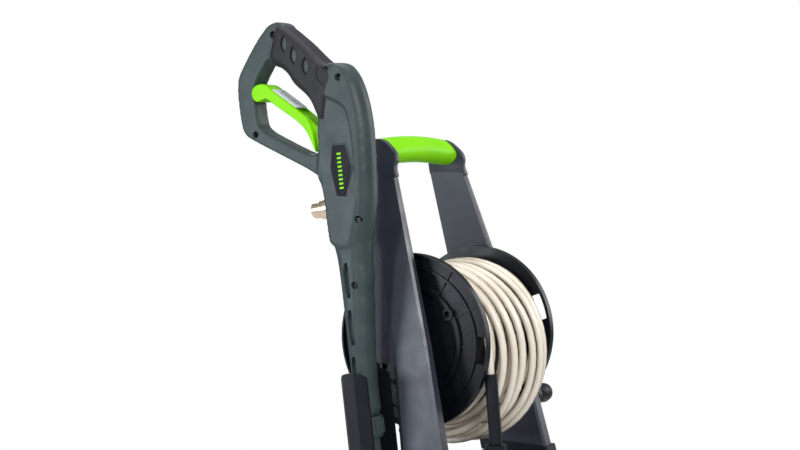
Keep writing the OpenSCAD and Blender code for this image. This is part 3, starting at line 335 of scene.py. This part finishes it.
def rounded(outline, times=2):
    """The closed outline with its corners cut (Chaikin): each point turns into one either side of it."""
    ratio = 0.25
    pts = list(outline)
    for _ in range(times):
        out = []
        for (ax, ay), (bx, by) in zip(pts, pts[1:] + pts[:1]):
            out.append((ax + (bx - ax) * ratio, ay + (by - ay) * ratio))
            out.append((bx - (bx - ax) * ratio, by - (by - ay) * ratio))
        pts = out
    return pts


def inset(outline, distance):
    """The outline moved inwards by distance along its own normals."""
    area = sum(a[0] * b[1] - b[0] * a[1] for a, b in zip(outline, outline[1:] + outline[:1]))
    turn = 1 if area > 0 else -1
    before, after = outline[-1:] + outline[:-1], outline[1:] + outline[:1]
    out = []
    for (ax, ay), (bx, by), (cx, cy) in zip(before, outline, after):
        d = Vector((cx - ax, cy - ay)).normalized()
        out.append((bx - d.y * distance * turn, by + d.x * distance * turn))
    return out


def scaled(outline, k):
    """The outline k times as large about the middle of its points."""
    cu = sum(p[0] for p in outline) / len(outline)
    cv = sum(p[1] for p in outline) / len(outline)
    return [(cu + (u - cu) * k, cv + (v - cv) * k) for u, v in outline]


def add_slab(bm, outline, low, high, place=in_gun):
    """A closed slab of the outline, from low to high across."""
    rings = [[bm.verts.new(place(u, v, x)) for u, v in outline] for x in (low, high)]
    n = len(outline)
    for i in range(n):
        j = (i + 1) % n
        bm.faces.new((rings[0][i], rings[0][j], rings[1][j], rings[1][i]))
    bm.faces.new(rings[0][::-1])
    bm.faces.new(rings[1])


def slabs(*rows):
    """A new mesh of closed slabs of the gun, one for each row of outline, low and high."""
    bm = bmesh.new()
    for outline, low, high in rows:
        add_slab(bm, outline, low, high)
    return bm


def add_nose(bm, outline, half, radius, u_mid, heel=0.0):
    """Slabs of an outline whose front edge rounds off with radius, and its rear edge with heel."""
    for x in (half, half - 1.5, half - 3, half - 5.5, half - 9, half - 14):
        front, rear = (r - math.sqrt(max(0.0, r ** 2 - max(0.0, x - (half - r)) ** 2))
                       for r in (radius, heel))
        add_slab(bm, [(u + front if u < u_mid else u - rear, v) for u, v in outline], -x, x)


def add_pillow(bm, outline, half, radius):
    """Slabs of an outline whose edges all round off with radius."""
    steps = 6
    for i in range(steps):
        a = math.pi / 2 * (i + 0.5) / steps
        x = half - radius * (1 - math.sin(a))
        add_slab(bm, inset(outline, radius * (1 - math.cos(a))), -x, x)


def add_pin(bm, centre, radius, half):
    """A closed round pin about centre, across the gun."""
    turn = Vector((1, 0, 0)).to_track_quat("Z", "Y").to_matrix().to_4x4()
    bmesh.ops.create_cone(bm, cap_ends=True, segments=24, radius1=radius, radius2=radius,
                          depth=2 * half, matrix=Matrix.Translation(centre) @ turn)


def add_ball(bm, centre, size):
    """A closed ball about centre with the three half sizes of size, set along the leaning gun."""
    bmesh.ops.create_uvsphere(bm, u_segments=24, v_segments=16, radius=1.0, matrix=(
        Matrix.Translation(centre) @ Matrix.Rotation(-GUN_LEAN, 4, "X")
        @ Matrix.Diagonal((*(s * MM for s in size), 1))))


def add_ring(bm, outer, inner, *spans):
    """Slabs of the outer outline over spans of low and high, with the inner outline cut out of them."""
    ring = new_object("ring", slabs(*((outer, low, high) for low, high in spans)), M["gun_green"])
    cut(ring, slabs((inner, -THROUGH, THROUGH)))
    bm.from_mesh(ring.data)
    bpy.data.objects.remove(ring)


def new_object(name, bm, material):
    bmesh.ops.recalc_face_normals(bm, faces=bm.faces)
    mesh = bpy.data.meshes.new(name)
    bm.to_mesh(mesh)
    bm.free()
    mesh.materials.append(material)
    obj = bpy.data.objects.new(name, mesh)
    scene.collection.objects.link(obj)
    return obj


def bake(obj):
    """Applies obj's modifiers to its mesh."""
    graph = bpy.context.evaluated_depsgraph_get()
    mesh = bpy.data.meshes.new_from_object(obj.evaluated_get(graph))
    obj.modifiers.clear()
    obj.data = mesh


def moulded(obj, voxel, passes, swell):
    """Melts the slabs of obj into one skin with rounded edges, as a moulding has. In millimetres."""
    remesh = obj.modifiers.new("skin", "REMESH")
    remesh.mode = "VOXEL"
    remesh.voxel_size = voxel * MM
    bake(obj)
    smooth = obj.modifiers.new("round", "SMOOTH")
    smooth.factor = 0.5
    smooth.iterations = passes
    grow = obj.modifiers.new("grow", "DISPLACE")
    grow.mid_level = 0
    grow.strength = swell * MM
    bake(obj)


def bevelled(obj, width):
    """Rounds the sharp edges of obj over width millimetres."""
    bevel = obj.modifiers.new("edge", "BEVEL")
    bevel.width = width * MM
    bevel.segments = 3
    bevel.limit_method = "ANGLE"
    bake(obj)


def cut(obj, bm):
    """Takes the closed solids in bm out of obj."""
    tool = new_object(obj.name + "_tool", bm, obj.data.materials[0])
    boolean = obj.modifiers.new("cut", "BOOLEAN")
    boolean.operation = "DIFFERENCE"
    boolean.solver = "EXACT"
    boolean.object = tool
    bake(obj)
    bpy.data.objects.remove(tool)


# ---------------------------------------------------------------- the gun's two shells, as one skin
BODY = [(-50, 400), (-50, 372), (-46, 318), (-43, 295), (-38, 272), (-31, 250), (-26, 236), (22, 236),
        (24, 262), (25, 318), (34, 335), (25, 372), (24, 400), (8, 440), (-2, 468), (-10, 477),
        (-20, 477), (-31, 469), (-41, 451), (-47, 427)]
BODY_HALF, BODY_ROUND, BODY_MID = 20.0, 17.0, -8
FOREGRIP = [(-30, 262), (-27, 236), (-24, 212), (-24.5, 200), (-23.5, 188), (-20.5, 176), (-20, 168),
            (-20.5, 158), (-18.5, 144), (-15.5, 133), (-16, 124), (-15, 110), (-12.5, 98), (-12.5, 84),
            (-9.5, 40), (-12, 12), (17, 12), (15, 30), (16, 60), (16, 214), (21, 240), (22, 262)]
FORE_HALF, FORE_ROUND, FORE_MID, FORE_HEEL = 18.5, 15.0, -2, 9.0
LOOP_OUT = [(20, 322), (43, 341), (92, 369), (143, 398), (153, 405), (158, 417), (159.5, 450),
            (158.5, 474), (154, 487), (140, 504), (117, 528), (98, 544), (86, 548.5), (74, 548.5),
            (64, 540), (50, 500), (0, 470), (0, 340)]
LOOP_IN = [(98, 505), (125, 476), (131, 462), (131, 421), (126, 409), (93, 389), (50, 365), (34, 362),
           (25, 372), (24, 400), (26, 416), (33, 436), (44, 448), (55, 459), (66, 476), (78, 487),
           (90, 494)]
LOOP_HALF = 13

# the sunk panel on each side, whose floor rises to nothing below PANEL_FADE
PANEL = [(-8, 430), (-24, 420), (-30, 408), (-33, 374), (-31, 330), (-29, 296), (-27, 268), (-20, 262),
         (60, 262), (60, 440), (12, 440)]
PANEL_HALF, PANEL_OUT, PANEL_FADE, PANEL_RISE = 18.0, 40, 298, 0.07
SCALLOPS = [(-33, 190), (-29, 147), (-25, 104)]
SCALLOP_X, SCALLOP_SIZE = 19, (7, 17, 19)
SCREWS = [(86, 533, LOOP_HALF), (-20.5, 457, BODY_HALF), (134.5, 403.5, LOOP_HALF),
          (-26.5, 269.5, BODY_HALF), (-9, 185, FORE_HALF)]  # u, v and how far to the left
SCREW_R, SCREW_DEEP = 5 * MM, 6.5 * MM
SLOTS = [(1.6, 192, 46, 10), (3.6, 130, 46, 10), (6, 77, 30, 8.5)]  # u, v, length and width, on the left
SLOT_SLANT, SLOT_FROM, SLOT_TO = 2, -24, -13.5
TRIGGER_ROOM = [(-16, 366), (-16, 406), (2, 409), (26, 409), (42, 409), (42, 350), (20, 350), (-4, 357)]
TRIGGER_ROOM_HALF = 11


def in_panel(u, v, x):
    """A point of the gun, moved outwards the further it lies below PANEL_FADE."""
    return in_gun(u, v, x + math.copysign(max(0.0, PANEL_FADE - v) * PANEL_RISE, x))


def slot_outline(u, v, length, width):
    """A slot with a slanting upper end."""
    left, right, low, high = u - width / 2, u + width / 2, v - length / 2, v + length / 2
    return rounded([(left, low), (right, low), (right, high - SLOT_SLANT), (left, high + SLOT_SLANT)], 1)


def gun_body():
    bm = bmesh.new()
    add_nose(bm, rounded(BODY), BODY_HALF, BODY_ROUND, BODY_MID)
    add_nose(bm, rounded(FOREGRIP), FORE_HALF, FORE_ROUND, FORE_MID, FORE_HEEL)
    add_ring(bm, rounded(LOOP_OUT, 1), rounded(LOOP_IN, 1), (-LOOP_HALF, LOOP_HALF))
    gun = new_object("gun_body", bm, M["gun_green"])
    moulded(gun, voxel=1.5, passes=5, swell=0.3)

    # the panels and scallops melt into the skin, and the cuts after them stay crisp
    tools = bmesh.new()
    for side in (-1, 1):
        add_slab(tools, rounded(PANEL), *sorted((side * PANEL_HALF, side * PANEL_OUT)), in_panel)
        for u, v in SCALLOPS:
            add_ball(tools, in_gun(u, v, side * SCALLOP_X), SCALLOP_SIZE)
    cut(gun, tools)
    moulded(gun, voxel=1.5, passes=4, swell=0.3)

    tools = bmesh.new()
    for u, v, half in SCREWS:
        add_pin(tools, in_gun(u, v, -half), SCREW_R, SCREW_DEEP)
    for row in SLOTS:
        add_slab(tools, slot_outline(*row), SLOT_FROM, SLOT_TO)
    add_slab(tools, rounded(TRIGGER_ROOM, 1), -TRIGGER_ROOM_HALF, TRIGGER_ROOM_HALF)
    cut(gun, tools)
    shade(gun)
    ride_as(gun, "gun", "gun_green", "gun_left_shell", "gun_right_shell")


gun_body()

# ---------------------------------------------------------------- the gun's soft grip
GRIP = [(76, 547), (64, 539), (50, 526), (35, 512), (19, 494), (8, 483), (-2, 475), (-15, 467),
        (-16, 458), (-6, 441), (1, 429), (9, 400), (21, 405), (26, 416), (33, 436), (44, 448), (54, 457),
        (60, 464), (66, 476), (78, 487), (87, 490), (92, 497), (95, 504), (90, 516), (84, 530)]
GRIP_HALF, GRIP_ROUND = 20.5, 11
FINGER_BUMPS = [(60, 486), (36, 456)]
BUMP = [(-12, -3), (0, -11), (9, -2), (7, 8), (-8, 8)]
BUMP_HALF, BUMP_ROUND = 15, 5
LEAVES = [(62.6, 515.5), (48.6, 497.5), (30.4, 480.0)]
PAD = [(8.1, 482), (15, 468), (12.4, 457), (-4, 443), (-10.5, 450), (-13.5, 460), (-4, 475)]
PAD_FRAME = 1.3
POCKET_SIZE, INLAY_SIZE = (12, 6), (10.2, 4.6)  # half the length and half the width of a leaf
PAD_FLOOR, POCKET_FLOOR, OUTSIDE = 19.9, 18.6, 26  # how far across the gun the cuts reach
INLAY_IN, INLAY_OUT = 17.0, 19.4


def leaf(u, v, length, width):
    """A pointed oval about (u, v) that leans a little to the front."""
    pts = []
    for i in range(16):
        a = 2 * math.pi * i / 16
        along, across = length * math.cos(a), width * math.sin(a) * (1 - 0.45 * math.cos(a) ** 2)
        pts.append((u + across - 0.06 * along, v + along))
    return pts


def grip_cover():
    """The overmould with its finger bumps, three leaf-shaped pockets a side and a framed pad."""
    bm = bmesh.new()
    add_pillow(bm, rounded(GRIP), GRIP_HALF, GRIP_ROUND)
    for u, v in FINGER_BUMPS:
        add_pillow(bm, rounded([(u + du, v + dv) for du, dv in BUMP]), BUMP_HALF, BUMP_ROUND)
    grip = new_object("grip_cover", bm, M["overmould"])
    moulded(grip, voxel=1.3, passes=5, swell=0.6)
    cut(grip, slabs(*((leaf(u, v, *POCKET_SIZE), low, high) for u, v in LEAVES
                      for low, high in ((-OUTSIDE, -POCKET_FLOOR), (POCKET_FLOOR, OUTSIDE)))))
    groove = bmesh.new()
    add_ring(groove, rounded(PAD, 1), rounded(inset(PAD, PAD_FRAME), 1),
             (-OUTSIDE, -PAD_FLOOR), (PAD_FLOOR, OUTSIDE))
    cut(grip, groove)
    shade(grip, degrees=50)
    ride_as(grip, "gun", "overmould", "grip_overmould")


def grip_inlays():
    """A harder leaf in each pocket of the overmould."""
    for i, (u, v) in enumerate(LEAVES):
        for side, side_name in ((-1, "left"), (1, "right")):
            inlay = slabs((leaf(u, v, *INLAY_SIZE), side * INLAY_IN, side * INLAY_OUT))
            inlay = new_object(f"grip_inlay_{i}_{side_name}", inlay, M["gun_green"])
            bevelled(inlay, width=1.2)
            shade(inlay)
            ride_as(inlay, "gun", "gun_green")


grip_cover()
grip_inlays()

# ---------------------------------------------------------------- the badge
BADGE = [(1, 371), (-20, 369.5), (-26.5, 338), (-13.5, 300), (3, 302), (8, 342)]
BADGE_PLATES = [("frame", 1.06, -19.4, -17.2, "gun_green"), ("plate", 0.97, -19.9, -17.6, "badge_black")]
BAR_COUNT, BAR_PITCH, BAR_DRIFT = 9, 5.6, 0.1
BAR_TOP = (-8.0, 358)
BAR_HALF_U, BAR_HALF_V = 3.2, 1.3
BAR_FROM, BAR_TO = -20.2, -19.7


def badge():
    """A dark six-sided plate in a frame, with a plain row of bars in place of any name."""
    for tag, size, low, high, finish in BADGE_PLATES:
        plate = new_object("badge_" + tag, slabs((scaled(BADGE, size), low, high)), M[finish])
        bevelled(plate, width=0.7)
        shade(plate)
        ride_as(plate, "gun", "black_plastic")
    rows = []
    for i in range(BAR_COUNT):
        u, v = BAR_TOP[0] + BAR_DRIFT * i, BAR_TOP[1] - i * BAR_PITCH
        left, right, low, high = u - BAR_HALF_U, u + BAR_HALF_U, v - BAR_HALF_V, v + BAR_HALF_V
        rows.append(([(left, low), (right, low), (right, high), (left, high)], BAR_FROM, BAR_TO))
    ride_as(new_object("badge_bars", slabs(*rows), M["lime_plastic"]), "gun", "lime_plastic")


badge()

# ---------------------------------------------------------------- the trigger and its lock plate
TRIGGER = [(134, 458), (130, 468), (118, 471), (108, 468), (98, 458.5), (70, 436), (52, 421), (38, 408),
           (30, 399), (18, 397), (0, 395), (-7, 386), (-3, 378), (8, 374), (18, 368), (27, 359),
           (33, 361), (36, 372), (40, 384), (48, 400), (60, 412), (77, 425), (97, 440), (108, 450),
           (116, 449), (122, 447), (130, 449)]
TRIGGER_BLADE = TRIGGER[:8] + TRIGGER[16:]  # without the arm that goes into the body
ARM_HALF, BLADE_HALF = 8.5, 14.5
LOCK_RECESS = [(101, 466), (98, 456.4), (56, 420.6), (48, 418), (40, 424), (80, 470)]
LOCK_RECESS_HALF = 12.2
LOCK = [(99, 460.5), (97, 457.2), (61, 428.9), (60, 431), (96, 460.5)]
LOCK_HALF = 11.8
LOCK_WINDOW = [(90, 470), (95, 450), (70, 428), (62, 440)]
LOCK_WINDOW_HALF = 3.6


def trigger_lever():
    bm = slabs((rounded(TRIGGER), -ARM_HALF, ARM_HALF), (rounded(TRIGGER_BLADE), -BLADE_HALF, BLADE_HALF))
    trigger = new_object("trigger_lever", bm, M["lime_plastic"])
    moulded(trigger, voxel=1.1, passes=7, swell=0.4)
    cut(trigger, slabs((LOCK_RECESS, -LOCK_RECESS_HALF, LOCK_RECESS_HALF)))
    shade(trigger)
    ride_as(trigger, "trigger_lever", "lime_plastic", "trigger")


def lock_plate():
    """The grey plate that lies along the trigger's recess, with a window in its middle."""
    lock = new_object("lock_plate", slabs((LOCK, -LOCK_HALF, LOCK_HALF)), M["silver_plastic"])
    bevelled(lock, width=0.8)
    cut(lock, slabs((LOCK_WINDOW, -LOCK_WINDOW_HALF, LOCK_WINDOW_HALF)))
    shade(lock)
    ride_as(lock, "lock_lever", "silver_plastic", "trigger_lock")


trigger_lever()
lock_plate()

# ---------------------------------------------------------------- the handle
ARCH_R, ARCH_Z, ARCH_Y = 700.0, 217.5, 24.0
GRIP_SECTION = [(-3, 18.5), (-21.5, 2.5), (-20, -9), (-9, -18.5), (11, -18.5), (20, -9), (21.5, 3),
                (11, 18)]  # y and rise, round the green grip
GRIP_END, GRIP_STEP = 81, 6
CHEEK = [(-13, 874), (-5, 893), (-8, 903), (-6, 911), (4, 921), (16, 930), (30, 932), (44, 928),
         (54, 915), (54, 895), (52, 874)]  # y and z
CHEEK_X, CHEEK_Z, CHEEK_LEAN = 86.8, 890, 0.152
CHEEK_IN, CHEEK_OUT = -4.4, 4.35


def on_arch(x, y, rise):
    """A point of the arched grip: x across, y to its rear, and rise above its middle line."""
    a = math.asin(x / ARCH_R)
    out = ARCH_R + rise
    return Vector((out * math.sin(a), ARCH_Y + y, ARCH_Z + out * math.cos(a))) * MM


def on_cheek(side):
    """The place of a cheek's points: y, z, and x outwards from its leaning middle."""
    return lambda y, z, x: Vector((side * (CHEEK_X - CHEEK_LEAN * (z - CHEEK_Z) + x), y, z)) * MM


def green_grip():
    bm = bmesh.new()
    rows = [[bm.verts.new(on_arch(x, y, rise)) for y, rise in rounded(GRIP_SECTION)]
            for x in range(-GRIP_END, GRIP_END + 1, GRIP_STEP)]
    for a, b in zip(rows, rows[1:]):
        for i, j in zip(range(len(a)), [*range(1, len(a)), 0]):
            bm.faces.new((a[i], a[j], b[j], b[i]))
    bm.faces.new(rows[0][::-1])
    bm.faces.new(rows[-1])
    grip = new_object("green_grip", bm, M["lime_plastic"])
    shade(grip, degrees=45)
    ride_as(grip, "root", "lime_plastic", "handle_grip")


def handle_cheeks():
    """The two cheeks that carry the legs' lines up to the ends of the grip."""
    bm = bmesh.new()
    for side in (-1, 1):
        add_slab(bm, rounded(CHEEK), CHEEK_IN, CHEEK_OUT, on_cheek(side))
    cheeks = new_object("handle_cheeks", bm, M["cover_grey"])
    bevelled(cheeks, width=1.6)
    shade(cheeks)
    ride_as(cheeks, "root", "black_plastic", "handle_bar")


green_grip()
handle_cheeks()

# ---------------------------------------------------------------- stage
FLOOR_R = 2.3
FLOOR_FADE = (1.2, 2.2)  # the floor turns from solid to clear between these distances


def floor():
    """A pale round floor that fades out at its edge, and is a little lighter to the camera alone."""
    bm = bmesh.new()
    bmesh.ops.create_circle(bm, cap_ends=True, segments=128, radius=FLOOR_R)
    mesh = bpy.data.meshes.new("floor")
    bm.to_mesh(mesh)
    bm.free()
    obj = bpy.data.objects.new("floor", mesh)
    scene.collection.objects.link(obj)
    m = Nodes("floor", 0.7)
    m.set("Base Color", m.ramp(m.noise(2, 2), [(0.3, (0.60, 0.60, 0.60)), (0.7, (0.66, 0.66, 0.66))]))
    distance = m.add("ShaderNodeVectorMath", operation="LENGTH")
    m.join(m.coords, distance.inputs[0])
    m.set("Alpha", m.span(distance.outputs["Value"], 1.0, 0.0, *FLOOR_FADE))
    m.shader.inputs["Emission Color"].default_value = (1, 1, 1, 1)
    path = m.add("ShaderNodeLightPath")
    m.set("Emission Strength", m.span(path.outputs["Is Camera Ray"], 0.0, 0.3, 0.0, 1.0))
    mesh.materials.append(m.material)


def studio():
    """A white room to look at, and a dim one, faintly blue, to be lit by."""
    world = bpy.data.worlds.new("studio")
    scene.world = world
    world.use_nodes = True
    tree = world.node_tree
    seen = tree.nodes["Background"]
    seen.inputs["Color"].default_value = (1, 1, 1, 1)
    seen.inputs["Strength"].default_value = 1.0
    ambient = tree.nodes.new("ShaderNodeBackground")
    ambient.inputs["Color"].default_value = (0.93, 0.96, 1, 1)
    ambient.inputs["Strength"].default_value = 0.34
    path = tree.nodes.new("ShaderNodeLightPath")
    mix = tree.nodes.new("ShaderNodeMixShader")
    tree.links.new(path.outputs["Is Camera Ray"], mix.inputs["Fac"])
    tree.links.new(ambient.outputs[0], mix.inputs[1])
    tree.links.new(seen.outputs[0], mix.inputs[2])
    tree.links.new(mix.outputs[0], tree.nodes["World Output"].inputs["Surface"])


def area_light(name, place, aim, size, energy, colour=(1, 1, 1)):
    data = bpy.data.lights.new(name, "AREA")
    data.shape = "RECTANGLE"
    data.size, data.size_y = size
    data.energy = energy
    data.color = colour
    lamp = set_up(name, data, place, Vector(place) - Vector(aim))
    lamp.visible_camera = False


floor()
studio()
area_light("side", (-2.5, 1.75, 0.85), (0, 0, 0.6), (1.0, 1.0), 28, (0.86, 0.93, 1))
area_light("key", (-1.7, -2.5, 2.3), (0, 0, 0.75), (0.8, 1.2), 72)
area_light("strip", (-2.4, 0.4, 1.9), (0, 0, 0.8), (0.3, 1.6), 24)
area_light("top", (0.3, 0.2, 3.4), (0, 0, 0.6), (1.8, 1.8), 40)
area_light("right", (2.3, -1.2, 1.5), (0, 0, 0.7), (0.7, 1.8), 22)
area_light("behind", (1.4, 2.2, 1.8), (0, 0, 0.6), (1.2, 1.4), 30)
scene.view_settings.view_transform = "Standard"
scene.view_settings.look = "None"
